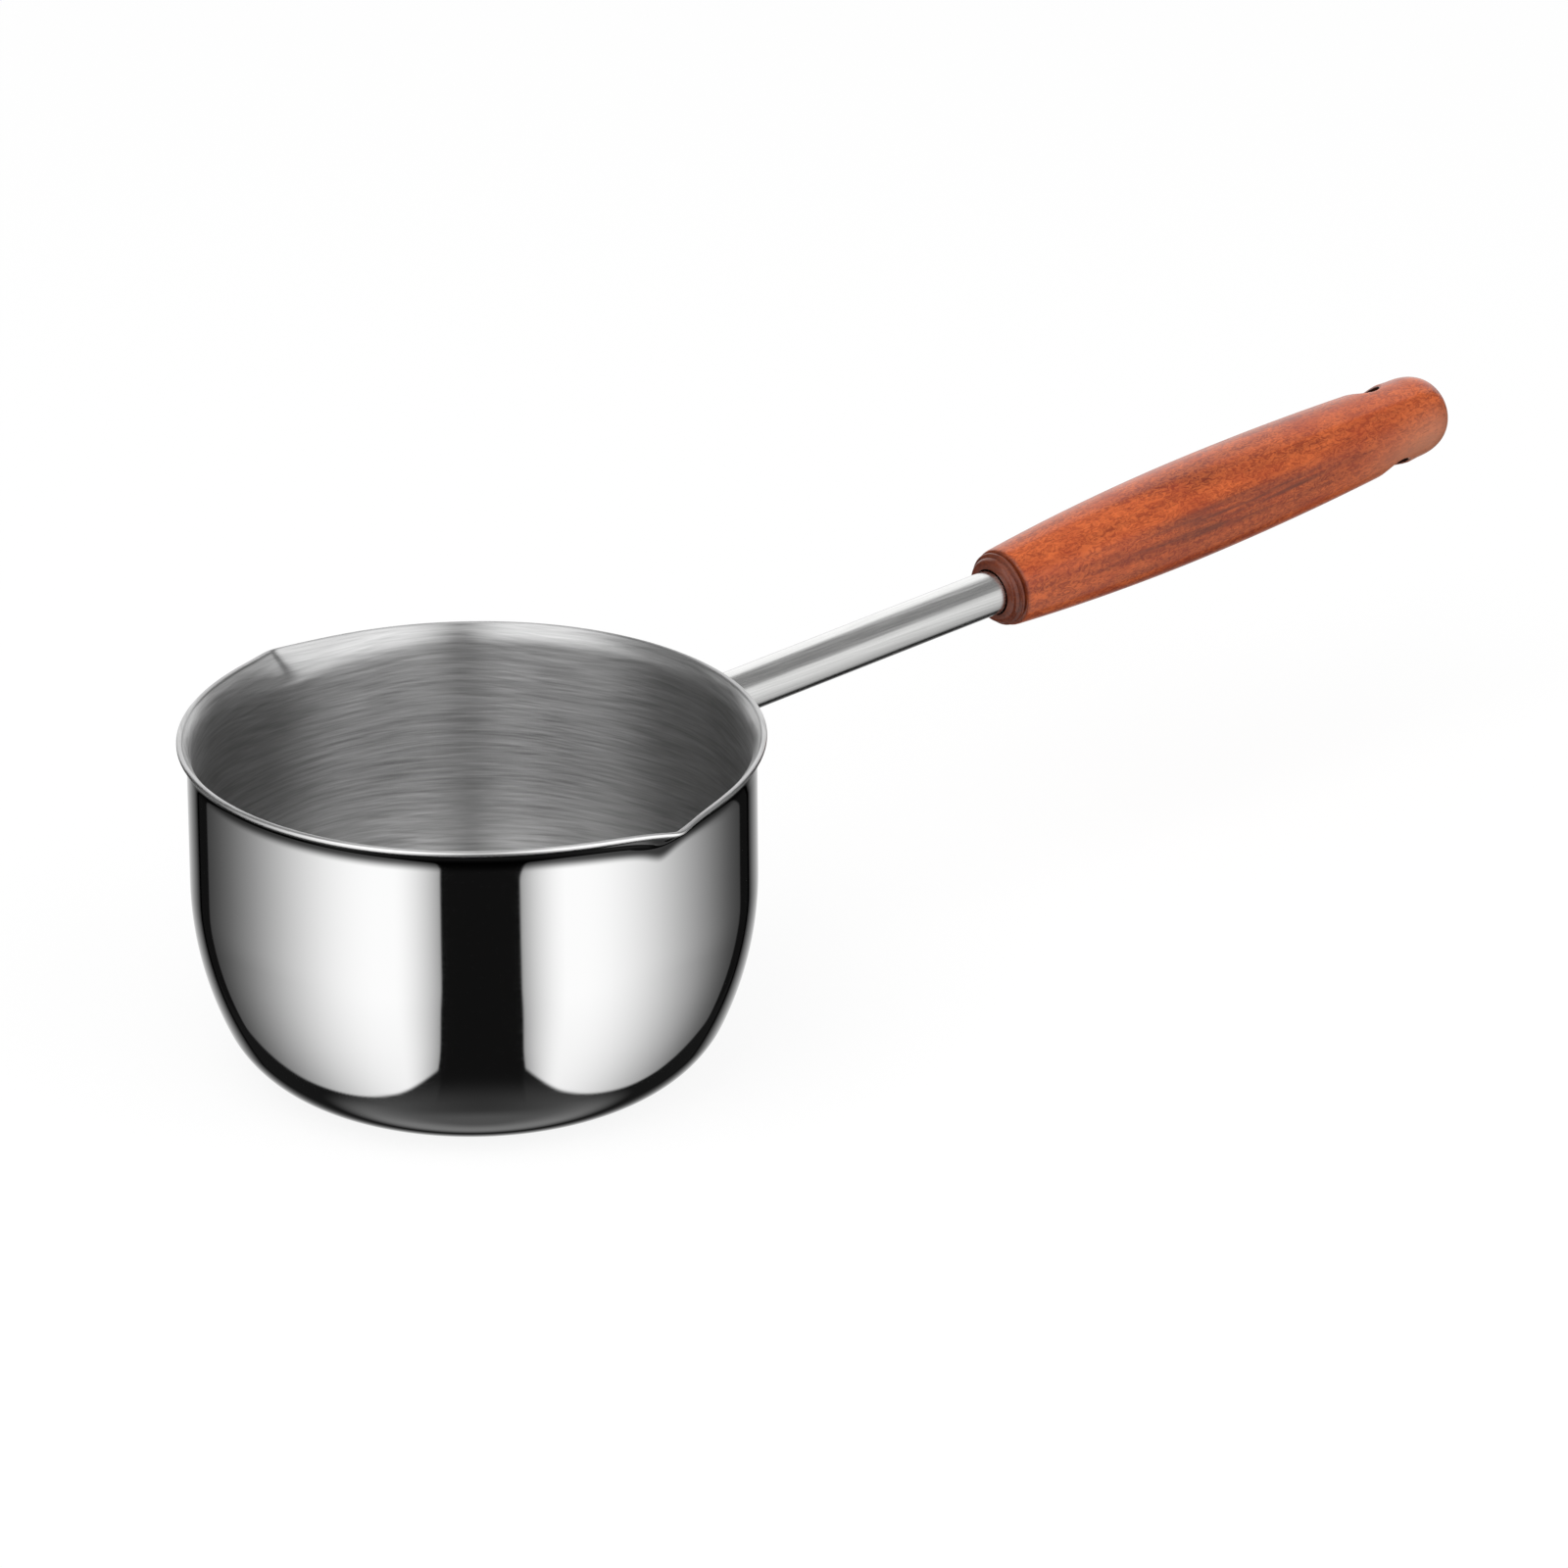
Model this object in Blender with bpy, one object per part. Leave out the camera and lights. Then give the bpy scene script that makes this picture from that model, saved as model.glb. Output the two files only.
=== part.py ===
"""Small saucepan: a drawn metal bowl with two pouring lips, a welded tube handle and a turned wooden grip.

Metres, +Z up. The origin is the middle of the flat base, the handle points along +X and the two
pouring lips face +Y and -Y.
"""
import math

import bmesh
import bpy
from mathutils import Matrix, Vector

# Gap kept between neighbouring pieces
GAP = 0.0003

# Bowl: one drawn sheet with a flat base, a rounded heel, a straight wall and a lip bent outwards
SHEET = 0.0010
BODY_R = 0.0603
RIM_HEIGHT = 0.0753
HEEL_R = 0.0120
HAUNCH_R = 0.0227
FLANK_R = 0.0747
HEEL_END = math.radians(23.2)
HAUNCH_END = math.radians(65.5)
LIP_BEND_R = 0.0045
LIP_TURN = math.radians(54)
BOWL_SEGMENTS = 96
WALL_RINGS = (0.55, 0.75, 0.88, 1.0)

# Pouring lips: the rim is pushed out and down to a beak on each side of the bowl. Each is a wide bulge
# that ends in a narrow pinch.
SPOUT_ANGLES = (math.radians(90), math.radians(270))
SPOUT_OUT = 0.0046
SPOUT_DROP = 0.0012
SPOUT_DEPTH = 0.0075
SPOUT_HALF_ANGLE = math.radians(60)
SPOUT_SHARPNESS = 3.2
SPOUT_PINCH_SHARE = 0.44
SPOUT_PINCH_ANGLE = math.radians(3.9)

# Tube handle: coped to the wall, rising slightly away from it
TUBE_R = 0.0050
TUBE_WALL = 0.0008
TUBE_BELOW_RIM = 0.0124
TUBE_RISE = math.radians(1.75)
TUBE_SHOWN = 0.0894
TUBE_IN_GRIP = 0.0320
WELD_LEG = 0.0016
WELD_BULGE = 0.62
WELD_EDGE = 0.1

# Plug in the tube's far end and the screw that holds the grip to it
PLUG_LENGTH = 0.0120
SCREW_R = 0.0020
SCREW_IN_WOOD = 0.0260
SCREW_POINT = 0.0050

# Wooden grip: a turned barrel with a beaded front shoulder and a rounded end
GRIP_RISE = math.radians(3)
GRIP_LENGTH = 0.1367
GRIP_FACE_R = 0.0056
GRIP_SHOULDER = 0.0014
GRIP_BEAD = 0.0010
GRIP_GROOVE = 0.0004
GRIP_SHOULDER_SHARE = 0.6
GRIP_BEAD_SHARE = 0.25
GRIP_FRONT_R = 0.0087
GRIP_BELLY_R = 0.01125
GRIP_BELLY_AT = 0.0630
GRIP_TAIL_R = 0.0092
GRIP_END_ROUND = 0.0103
GRIP_CURVE = 2.0
GRIP_END_SQUARENESS = 2.6
BARREL_STEPS = 16
GRIP_END_STEPS = 8

# Hanging hole drilled across the grip, with eased mouths
HOLE_R = 0.0044
HOLE_FROM_END = 0.0183
HOLE_LEAN = math.radians(31)
MOUTH_R = 0.0051
MOUTH_DEPTH = 0.0005
MOUTH_BREAK = 0.3
MOUTH_BREAK_DEPTH = 0.15

ROUND_SEGMENTS = 32


def clear_scene():
    for item in list(bpy.data.objects):
        bpy.data.objects.remove(item, do_unlink=True)


def make_material(name, colour, metallic, roughness):
    material = bpy.data.materials.new(name)
    material.use_nodes = True
    shader = material.node_tree.nodes["Principled BSDF"]
    shader.inputs["Base Color"].default_value = (*colour, 1.0)
    shader.inputs["Metallic"].default_value = metallic
    shader.inputs["Roughness"].default_value = roughness
    return material


def make_object(name, mesh, material=None):
    item = bpy.data.objects.new(name, mesh)
    bpy.context.scene.collection.objects.link(item)
    if material:
        mesh.materials.append(material)
    return item


def hide_cutter(item):
    item.hide_render = True
    item.display_type = "WIRE"


def turned_mesh(name, outline, segments):
    """Spin a closed outline of (radius, height) points about the Z axis into one solid."""
    bm = bmesh.new()
    corners = [bm.verts.new((radius, 0.0, height)) for radius, height in outline]
    edges = [bm.edges.new(pair) for pair in zip(corners, corners[1:] + corners[:1])
             if pair[0].co.x > 0 or pair[1].co.x > 0]
    bmesh.ops.spin(bm, geom=corners + edges, cent=(0, 0, 0), axis=(0, 0, 1),
                   angle=2 * math.pi, steps=segments, use_merge=True)
    bmesh.ops.remove_doubles(bm, verts=bm.verts, dist=1e-7)
    bmesh.ops.recalc_face_normals(bm, faces=bm.faces)
    mesh = bpy.data.meshes.new(name)
    bm.to_mesh(mesh)
    bm.free()
    mesh.shade_smooth()
    mesh.set_sharp_from_angle(angle=math.radians(35))
    return mesh


def cut(item, cutter):
    modifier = item.modifiers.new("cut_" + cutter.name, "BOOLEAN")
    modifier.operation = "DIFFERENCE"
    modifier.solver = "EXACT"
    modifier.object = cutter


def bend(centre, radius, start, end, steps):
    """Points of an arc from angle start to angle end, leaving out its first point."""
    angles = [start + (end - start) * step / steps for step in range(1, steps + 1)]
    return [(centre[0] + radius * math.cos(angle), centre[1] + radius * math.sin(angle))
            for angle in angles]


def bowl_side(inset):
    """Section of the bowl from the edge of its flat base to its lip, inset from the outside face."""
    down = -math.pi / 2
    flank_centre = BODY_R - FLANK_R
    haunch_centre = flank_centre + (FLANK_R - HAUNCH_R) * math.sin(HAUNCH_END)
    heel_centre = haunch_centre + (HAUNCH_R - HEEL_R) * math.sin(HEEL_END)
    haunch_height = HEEL_R + (HAUNCH_R - HEEL_R) * math.cos(HEEL_END)
    flank_height = haunch_height + (FLANK_R - HAUNCH_R) * math.cos(HAUNCH_END)
    lip_centre = (BODY_R + LIP_BEND_R,
                  RIM_HEIGHT - SHEET / 2 - (LIP_BEND_R + SHEET / 2) * math.sin(LIP_TURN))
    points = [(heel_centre, inset)]
    points += bend((heel_centre, HEEL_R), HEEL_R - inset, down, down + HEEL_END, 2)
    points += bend((haunch_centre, haunch_height), HAUNCH_R - inset, down + HEEL_END, down + HAUNCH_END, 5)
    points += bend((flank_centre, flank_height), FLANK_R - inset, down + HAUNCH_END, 0.0, 4)
    wall = BODY_R - inset
    points += [(wall, lip_centre[1] + (1 - share) * (flank_height - lip_centre[1]))
               for share in WALL_RINGS]
    points += bend(lip_centre, LIP_BEND_R + inset, math.pi, math.pi - LIP_TURN, 5)
    return points


def bowl_outline():
    outside = bowl_side(0.0)
    inside = bowl_side(SHEET)
    edge = ((outside[-1][0] + inside[-1][0]) / 2, (outside[-1][1] + inside[-1][1]) / 2)
    lean = math.pi / 2 - LIP_TURN
    rolled = bend(edge, SHEET / 2, lean - math.pi / 2, lean + math.pi / 2, 4)[:-1]
    return [(0.0, 0.0)] + outside + rolled + inside[::-1] + [(0.0, SHEET)]


def spout_share(angle):
    """How far a direction takes part in the nearest pouring lip: 1 at its beak, 0 well beside it."""
    nearest = min(abs(math.remainder(angle - spout, 2 * math.pi)) for spout in SPOUT_ANGLES)
    bulge = max(0.0, 1 - nearest / SPOUT_HALF_ANGLE) ** SPOUT_SHARPNESS
    pinch = math.exp(-nearest / SPOUT_PINCH_ANGLE)
    return (1 - SPOUT_PINCH_SHARE) * bulge + SPOUT_PINCH_SHARE * pinch


def press_spouts(mesh):
    for vertex in mesh.vertices:
        radius = math.hypot(vertex.co.x, vertex.co.y)
        depth = max(0.0, RIM_HEIGHT - vertex.co.z)
        if radius == 0 or depth >= SPOUT_DEPTH:
            continue
        nearness = 1 - depth / SPOUT_DEPTH
        fade = nearness * nearness * (3 - 2 * nearness)
        share = fade * spout_share(math.atan2(vertex.co.y, vertex.co.x))
        grow = (radius + SPOUT_OUT * share) / radius
        vertex.co = (vertex.co.x * grow, vertex.co.y * grow, vertex.co.z - SPOUT_DROP * share)


def make_bowl(metal):
    mesh = turned_mesh("pan_body", bowl_outline(), BOWL_SEGMENTS)
    press_spouts(mesh)
    return make_object("pan_body", mesh, metal)


def make_wall_cutter():
    """The space that the bowl's wall takes up, with the gap that the handle keeps to it."""
    reach = BODY_R + GAP
    outline = [(0.0, 0.0), (reach, 0.0), (reach, RIM_HEIGHT), (0.0, RIM_HEIGHT)]
    cutter = make_object("wall_cutter", turned_mesh("wall_cutter", outline, 2 * BOWL_SEGMENTS))
    hide_cutter(cutter)
    return cutter


def make_axis(name, parent, matrix):
    """An empty whose +Z runs along the handle, away from the bowl."""
    axis = bpy.data.objects.new(name, None)
    bpy.context.scene.collection.objects.link(axis)
    axis.parent = parent
    axis.matrix_basis = matrix
    return axis


def make_tube(metal, axis, wall_cutter):
    end = TUBE_SHOWN + TUBE_IN_GRIP
    start = -TUBE_R
    bore = TUBE_R - TUBE_WALL
    outline = [(bore, start), (TUBE_R, start), (TUBE_R, end), (bore, end)]
    tube = make_object("handle_tube", turned_mesh("handle_tube", outline, ROUND_SEGMENTS), metal)
    tube.parent = axis
    cut(tube, wall_cutter)
    return tube


def make_weld(metal, axis, wall_cutter):
    """Ring of filler metal in the corner between the tube and the wall."""
    inner = TUBE_R + GAP
    outer = inner + WELD_LEG
    foot = outer * math.tan(TUBE_RISE) + outer ** 2 / (2 * BODY_R) + GAP
    top = GAP + WELD_LEG
    bulge = (inner + WELD_BULGE * WELD_LEG, GAP + WELD_BULGE * WELD_LEG)
    edge = (inner + WELD_EDGE * WELD_LEG, top)
    outline = [(inner, -foot), (outer, -foot), (outer, GAP), bulge, edge, (inner, top)]
    weld = make_object("handle_weld", turned_mesh("handle_weld", outline, ROUND_SEGMENTS), metal)
    weld.parent = axis
    cut(weld, wall_cutter)
    return weld


def make_plug(metal, axis):
    end = TUBE_SHOWN + TUBE_IN_GRIP
    outer = TUBE_R - TUBE_WALL - GAP
    bore = SCREW_R + GAP
    outline = [(bore, end - PLUG_LENGTH), (outer, end - PLUG_LENGTH), (outer, end), (bore, end)]
    plug = make_object("tube_end_plug", turned_mesh("tube_end_plug", outline, ROUND_SEGMENTS), metal)
    plug.parent = axis
    return plug


def make_screw(metal, axis):
    """Headless screw: its plain end sits in the plug and its point in the wood."""
    start = TUBE_SHOWN + TUBE_IN_GRIP - PLUG_LENGTH
    tip = TUBE_SHOWN + TUBE_IN_GRIP + SCREW_IN_WOOD
    outline = [(0.0, start), (SCREW_R, start), (SCREW_R, tip - SCREW_POINT), (0.0, tip)]
    screw = make_object("grip_screw", turned_mesh("grip_screw", outline, ROUND_SEGMENTS // 2), metal)
    screw.parent = axis
    return screw


def barrel_radius(along):
    """Radius of the grip between its front shoulder and the start of its rounded end."""
    front = GRIP_SHOULDER + GRIP_BEAD + 2 * GRIP_GROOVE
    tail = GRIP_LENGTH - GRIP_END_ROUND
    if along < GRIP_BELLY_AT:
        share, edge = (GRIP_BELLY_AT - along) / (GRIP_BELLY_AT - front), GRIP_FRONT_R
    else:
        share, edge = (along - GRIP_BELLY_AT) / (tail - GRIP_BELLY_AT), GRIP_TAIL_R
    return GRIP_BELLY_R - (GRIP_BELLY_R - edge) * share ** GRIP_CURVE


def grip_outline():
    """Face, rounded shoulder, groove, bead, groove, barrel and rounded end, from front to back."""
    shoulder_r = GRIP_FACE_R + GRIP_SHOULDER_SHARE * (GRIP_FRONT_R - GRIP_FACE_R)
    points = [(0.0, 0.0), (GRIP_FACE_R, 0.0)]
    for turn in (math.pi / 6, math.pi / 3, math.pi / 2):
        points.append((GRIP_FACE_R + (shoulder_r - GRIP_FACE_R) * math.sin(turn),
                       GRIP_SHOULDER * (1 - math.cos(turn))))
    bead_r = shoulder_r + GRIP_BEAD_SHARE * (GRIP_FRONT_R - shoulder_r)
    bead_centre = GRIP_SHOULDER + GRIP_GROOVE + GRIP_BEAD / 2
    points.append((bead_r - GRIP_GROOVE, GRIP_SHOULDER + GRIP_GROOVE / 2))
    points += [(bead_r + GRIP_BEAD / 2 * math.sin(turn), bead_centre - GRIP_BEAD / 2 * math.cos(turn))
               for turn in (0.0, math.pi / 3, 2 * math.pi / 3, math.pi)]
    front = GRIP_SHOULDER + GRIP_BEAD + 2 * GRIP_GROOVE
    points.append((bead_r - GRIP_GROOVE, front - GRIP_GROOVE / 2))
    tail = GRIP_LENGTH - GRIP_END_ROUND
    for step in range(BARREL_STEPS + 1):
        along = front + (tail - front) * step / BARREL_STEPS
        points.append((barrel_radius(along), along))
    power = GRIP_END_SQUARENESS
    for step in range(1, GRIP_END_STEPS + 1):
        share = math.sin(math.pi / 2 * step / GRIP_END_STEPS)
        points.append((GRIP_TAIL_R * (1 - share ** power) ** (1 / power), tail + GRIP_END_ROUND * share))
    return points


def make_bore_cutter(axis):
    """Stepped hole along the tube's axis: wide for the tube, narrow for the screw."""
    face = TUBE_SHOWN - TUBE_R
    seat = TUBE_SHOWN + TUBE_IN_GRIP + GAP
    bottom = seat + SCREW_IN_WOOD + GAP
    wide = TUBE_R + GAP
    narrow = SCREW_R + GAP
    outline = [(0.0, face), (wide, face), (wide, seat), (narrow, seat), (narrow, bottom), (0.0, bottom)]
    cutter = make_object("bore_cutter", turned_mesh("bore_cutter", outline, ROUND_SEGMENTS))
    cutter.parent = axis
    hide_cutter(cutter)
    return cutter


def make_hole_cutter(axis):
    """Drill across the grip that widens a little at each side, which eases the edge of its mouth."""
    along = GRIP_LENGTH - HOLE_FROM_END
    surface = barrel_radius(along)
    reach = surface + MOUTH_R
    floor = surface - MOUTH_DEPTH
    break_edge = (HOLE_R + MOUTH_BREAK * (MOUTH_R - HOLE_R), floor + MOUTH_BREAK_DEPTH * MOUTH_DEPTH)
    side = [(HOLE_R, floor), break_edge, (MOUTH_R, surface), (MOUTH_R + reach - surface, reach)]
    outline = [(0.0, reach)] + side[::-1] + [(radius, -height) for radius, height in side] + [(0.0, -reach)]
    cutter = make_object("hole_cutter", turned_mesh("hole_cutter", outline, ROUND_SEGMENTS))
    cutter.parent = axis
    cutter.matrix_basis = (Matrix.Translation((0, 0, along)) @ Matrix.Rotation(-HOLE_LEAN, 4, "Z")
                           @ Matrix.Rotation(math.radians(90), 4, "Y"))
    hide_cutter(cutter)
    return cutter


def make_grip(wood, tube_axis, grip_axis):
    grip = make_object("wood_grip", turned_mesh("wood_grip", grip_outline(), ROUND_SEGMENTS), wood)
    grip.parent = grip_axis
    cut(grip, make_bore_cutter(tube_axis))
    cut(grip, make_hole_cutter(grip_axis))
    return grip


def handle_matrix(rise):
    """Turn +Z onto the handle's direction: along +X, tipped up by rise."""
    return Matrix.Rotation(math.pi / 2 - rise, 4, "Y")


def build():
    clear_scene()
    metal = make_material("polished_titanium", (0.62, 0.60, 0.58), 1.0, 0.12)
    satin = make_material("satin_titanium", (0.60, 0.58, 0.56), 1.0, 0.35)
    filler = make_material("weld_metal", (0.50, 0.49, 0.47), 1.0, 0.45)
    steel = make_material("plain_steel", (0.55, 0.55, 0.54), 1.0, 0.40)
    wood = make_material("lacquered_wood", (0.45, 0.10, 0.03), 0.0, 0.25)

    make_bowl(metal)
    wall_cutter = make_wall_cutter()
    foot = Matrix.Translation((BODY_R, 0.0, RIM_HEIGHT - TUBE_BELOW_RIM)) @ handle_matrix(TUBE_RISE)
    tube_axis = make_axis("tube_axis", None, foot)
    make_tube(satin, tube_axis, wall_cutter)
    make_weld(filler, tube_axis, wall_cutter)
    make_plug(steel, tube_axis)
    make_screw(steel, tube_axis)

    tilt = Matrix.Rotation(TUBE_RISE - GRIP_RISE, 4, "Y")
    grip_axis = make_axis("grip_axis", tube_axis, Matrix.Translation((0, 0, TUBE_SHOWN)) @ tilt)
    make_grip(wood, tube_axis, grip_axis)


build()
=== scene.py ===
import math

import bmesh
import bpy
from mathutils import Matrix, Vector


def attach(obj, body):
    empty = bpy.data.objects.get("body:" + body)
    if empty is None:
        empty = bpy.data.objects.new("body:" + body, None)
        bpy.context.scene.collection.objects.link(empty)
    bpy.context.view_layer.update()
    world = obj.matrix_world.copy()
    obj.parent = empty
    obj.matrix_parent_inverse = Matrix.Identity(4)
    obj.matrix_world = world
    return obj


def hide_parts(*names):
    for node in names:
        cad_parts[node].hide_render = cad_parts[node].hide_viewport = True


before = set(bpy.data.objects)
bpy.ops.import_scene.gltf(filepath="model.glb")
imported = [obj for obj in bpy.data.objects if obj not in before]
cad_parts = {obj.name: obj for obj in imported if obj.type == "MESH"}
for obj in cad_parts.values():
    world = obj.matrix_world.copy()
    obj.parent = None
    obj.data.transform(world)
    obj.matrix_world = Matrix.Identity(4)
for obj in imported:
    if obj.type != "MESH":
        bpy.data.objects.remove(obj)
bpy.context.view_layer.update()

# The bowl: one sheet of commercially pure titanium, spun over a former to a round-bottomed shape.
# Its edge is bent outwards into a narrow lip, and a tool has pinched two opposed pouring lips into it.
# The outside is buffed to a mirror. The inside keeps the fine lines of a belt held against the turning bowl.
SHEET = 0.0010
WALL_R = 0.0603
RIM_HEIGHT = 0.0753
HEEL_R = 0.0120
HAUNCH_R = 0.0227
FLANK_R = 0.0747
HEEL_END = math.radians(23.2)
HAUNCH_END = math.radians(65.5)
LIP_BEND_R = 0.0045
LIP_TURN = math.radians(54)
# The trimming roller leaves the edge a little thicker than the sheet, as a round bead.
EDGE_R = 0.00064
EDGE_BLEND = 0.0001
# Rows of points in each stretch of the section. In the wall they crowd towards the rim.
BASE_ROWS = 6
HEEL_ROWS = 6
HAUNCH_ROWS = 14
FLANK_ROWS = 14
WALL_ROWS = 30
WALL_CROWDING = 0.7
LIP_ROWS = 12
EDGE_ROWS = 16
BOWL_STEPS = 480
# The pouring lips
LIP_REACH = 0.0046
LIP_DROP = 0.0012
LIP_DEPTH = 0.0075
LIP_HALF_ANGLE = math.radians(60)
LIP_SHARPNESS = 3.2
PINCH_SHARE = 0.44
PINCH_ANGLE = math.radians(3.9)
BEAK_ROUNDING = math.radians(2.0)


def arc(centre, radius, start, end, steps):
    """Points of an arc in the (radius, height) plane, leaving out its first point."""
    turns = [start + (end - start) * step / steps for step in range(1, steps + 1)]
    return [(centre[0] + radius * math.cos(turn), centre[1] + radius * math.sin(turn)) for turn in turns]


def bowl_side(inset):
    """Section of the bowl from its flat base to its lip, inset from the outside face."""
    down = -math.pi / 2
    flank = WALL_R - FLANK_R
    haunch = flank + (FLANK_R - HAUNCH_R) * math.sin(HAUNCH_END)
    heel = haunch + (HAUNCH_R - HEEL_R) * math.sin(HEEL_END)
    haunch_height = HEEL_R + (HAUNCH_R - HEEL_R) * math.cos(HEEL_END)
    flank_height = haunch_height + (FLANK_R - HAUNCH_R) * math.cos(HAUNCH_END)
    lip = (WALL_R + LIP_BEND_R, RIM_HEIGHT - SHEET / 2 - (LIP_BEND_R + SHEET / 2) * math.sin(LIP_TURN))
    points = [(heel * row / BASE_ROWS, inset) for row in range(1, BASE_ROWS + 1)]
    points += arc((heel, HEEL_R), HEEL_R - inset, down, down + HEEL_END, HEEL_ROWS)
    points += arc((haunch, haunch_height), HAUNCH_R - inset, down + HEEL_END, down + HAUNCH_END, HAUNCH_ROWS)
    points += arc((flank, flank_height), FLANK_R - inset, down + HAUNCH_END, 0.0, FLANK_ROWS)
    points += [(WALL_R - inset, flank_height + (lip[1] - flank_height) * (row / WALL_ROWS) ** WALL_CROWDING)
               for row in range(1, WALL_ROWS + 1)]
    points += arc(lip, LIP_BEND_R + inset, math.pi, math.pi - LIP_TURN, LIP_ROWS)
    return points


outer_side = bowl_side(0.0)
inner_side = bowl_side(SHEET)
lip_lean = math.pi / 2 - LIP_TURN
lip_end = [(out + into) / 2 for out, into in zip(outer_side[-1], inner_side[-1])]
lip_edge = (lip_end[0] + (SHEET / 2 - EDGE_R) * math.cos(lip_lean),
            lip_end[1] + (SHEET / 2 - EDGE_R) * math.sin(lip_lean))
for face in (outer_side, inner_side):
    while math.dist(face[-1], lip_edge) < EDGE_R + EDGE_BLEND:
        face.pop()
edge_turn = math.pi - math.asin(SHEET / 2 / EDGE_R)
rolled_edge = arc(lip_edge, EDGE_R, lip_lean - edge_turn, lip_lean + edge_turn, EDGE_ROWS)
bowl_section = [(0.0, 0.0)] + outer_side + rolled_edge + inner_side[::-1] + [(0.0, SHEET)]
LIP_RUN = sum(math.dist(here, there) for here, there in zip([(0.0, 0.0)] + outer_side, outer_side))


def add(tree, kind, sockets=None, **settings):
    """Add a node. A socket takes a plain value, or a link given as (node, name or number of its output)."""
    made = tree.nodes.new(kind)
    for name, value in settings.items():
        setattr(made, name, value)
    for name, value in (sockets or {}).items():
        if isinstance(value, tuple) and isinstance(value[0], bpy.types.Node):
            tree.links.new(value[0].outputs[value[1]], made.inputs[name])
        else:
            made.inputs[name].default_value = value
    return made


def open_tree(name, sockets):
    """Start a geometry tree with named inputs and one mesh output."""
    tree = bpy.data.node_groups.new(name, "GeometryNodeTree")
    for label, kind in sockets.items():
        tree.interface.new_socket(label, in_out="INPUT", socket_type="NodeSocket" + kind)
    tree.interface.new_socket("Mesh", in_out="OUTPUT", socket_type="NodeSocketGeometry")
    return tree, add(tree, "NodeGroupInput"), add(tree, "NodeGroupOutput")


# Spins a section, an open line of (radius, 0, height) points, about the Z axis, as a lathe or a former does.
# Each point keeps its distance along the section as the attribute "run".
spin, given, made = open_tree("spun_section", {
    "Section": "Geometry", "Steps": "Int", "Outside finish": "Material",
    "Inside finish": "Material", "Inside from": "Float"})
count = add(spin, "GeometryNodeAttributeDomainSize", {"Geometry": (given, "Section")}, component="MESH")
columns = add(spin, "ShaderNodeMath", {0: (given, "Steps"), 1: 1.0}, operation="ADD")
sheet = add(spin, "GeometryNodeMeshGrid", {"Vertices X": (count, "Point Count"), "Vertices Y": (columns, 0)})
index = add(spin, "GeometryNodeInputIndex")
middle = add(spin, "ShaderNodeMath", {0: (index, 0), 1: 0.5}, operation="ADD")
share = add(spin, "ShaderNodeMath", {0: (middle, 0), 1: (columns, 0)}, operation="DIVIDE")
row = add(spin, "ShaderNodeMath", {0: (share, 0)}, operation="FLOOR")
rest = add(spin, "ShaderNodeMath", {0: (share, 0)}, operation="FRACT")
column = add(spin, "ShaderNodeMath", {0: (rest, 0), 1: (columns, 0)}, operation="MULTIPLY")
whole = add(spin, "ShaderNodeMath", {0: (column, 0)}, operation="FLOOR")
part = add(spin, "ShaderNodeMath", {0: (whole, 0), 1: (given, "Steps")}, operation="DIVIDE")
turn = add(spin, "ShaderNodeMath", {0: (part, 0), 1: 2 * math.pi}, operation="MULTIPLY")
place = add(spin, "GeometryNodeInputPosition")
point = add(spin, "GeometryNodeSampleIndex",
            {"Geometry": (given, "Section"), "Value": (place, 0), "Index": (row, 0)},
            data_type="FLOAT_VECTOR", domain="POINT")
run = add(spin, "GeometryNodeInputNamedAttribute", {"Name": "run"}, data_type="FLOAT")
run_here = add(spin, "GeometryNodeSampleIndex",
               {"Geometry": (given, "Section"), "Value": (run, 0), "Index": (row, 0)},
               data_type="FLOAT", domain="POINT")
turned = add(spin, "ShaderNodeVectorRotate", {"Vector": (point, 0), "Angle": (turn, 0)},
             rotation_type="Z_AXIS")
shaped = add(spin, "GeometryNodeSetPosition", {"Geometry": (sheet, "Mesh"), "Position": (turned, 0)})
marked = add(spin, "GeometryNodeStoreNamedAttribute",
             {"Geometry": (shaped, 0), "Name": "run", "Value": (run_here, 0)},
             data_type="FLOAT", domain="POINT")
closed = add(spin, "GeometryNodeMergeByDistance", {"Geometry": (marked, 0), "Distance": 2e-7})
smooth = add(spin, "GeometryNodeSetShadeSmooth", {"Geometry": (closed, 0)})
plain = add(spin, "GeometryNodeRealizeInstances", {"Geometry": (smooth, 0)})
coated = add(spin, "GeometryNodeSetMaterial", {"Geometry": (plain, 0), "Material": (given, "Outside finish")})
run_now = add(spin, "GeometryNodeInputNamedAttribute", {"Name": "run"}, data_type="FLOAT")
within = add(spin, "FunctionNodeCompare", {0: (run_now, 0), 1: (given, "Inside from")},
             operation="GREATER_THAN")
lined = add(spin, "GeometryNodeSetMaterial",
            {"Geometry": (coated, 0), "Selection": (within, 0), "Material": (given, "Inside finish")})
spin.links.new(lined.outputs[0], made.inputs[0])


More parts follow.
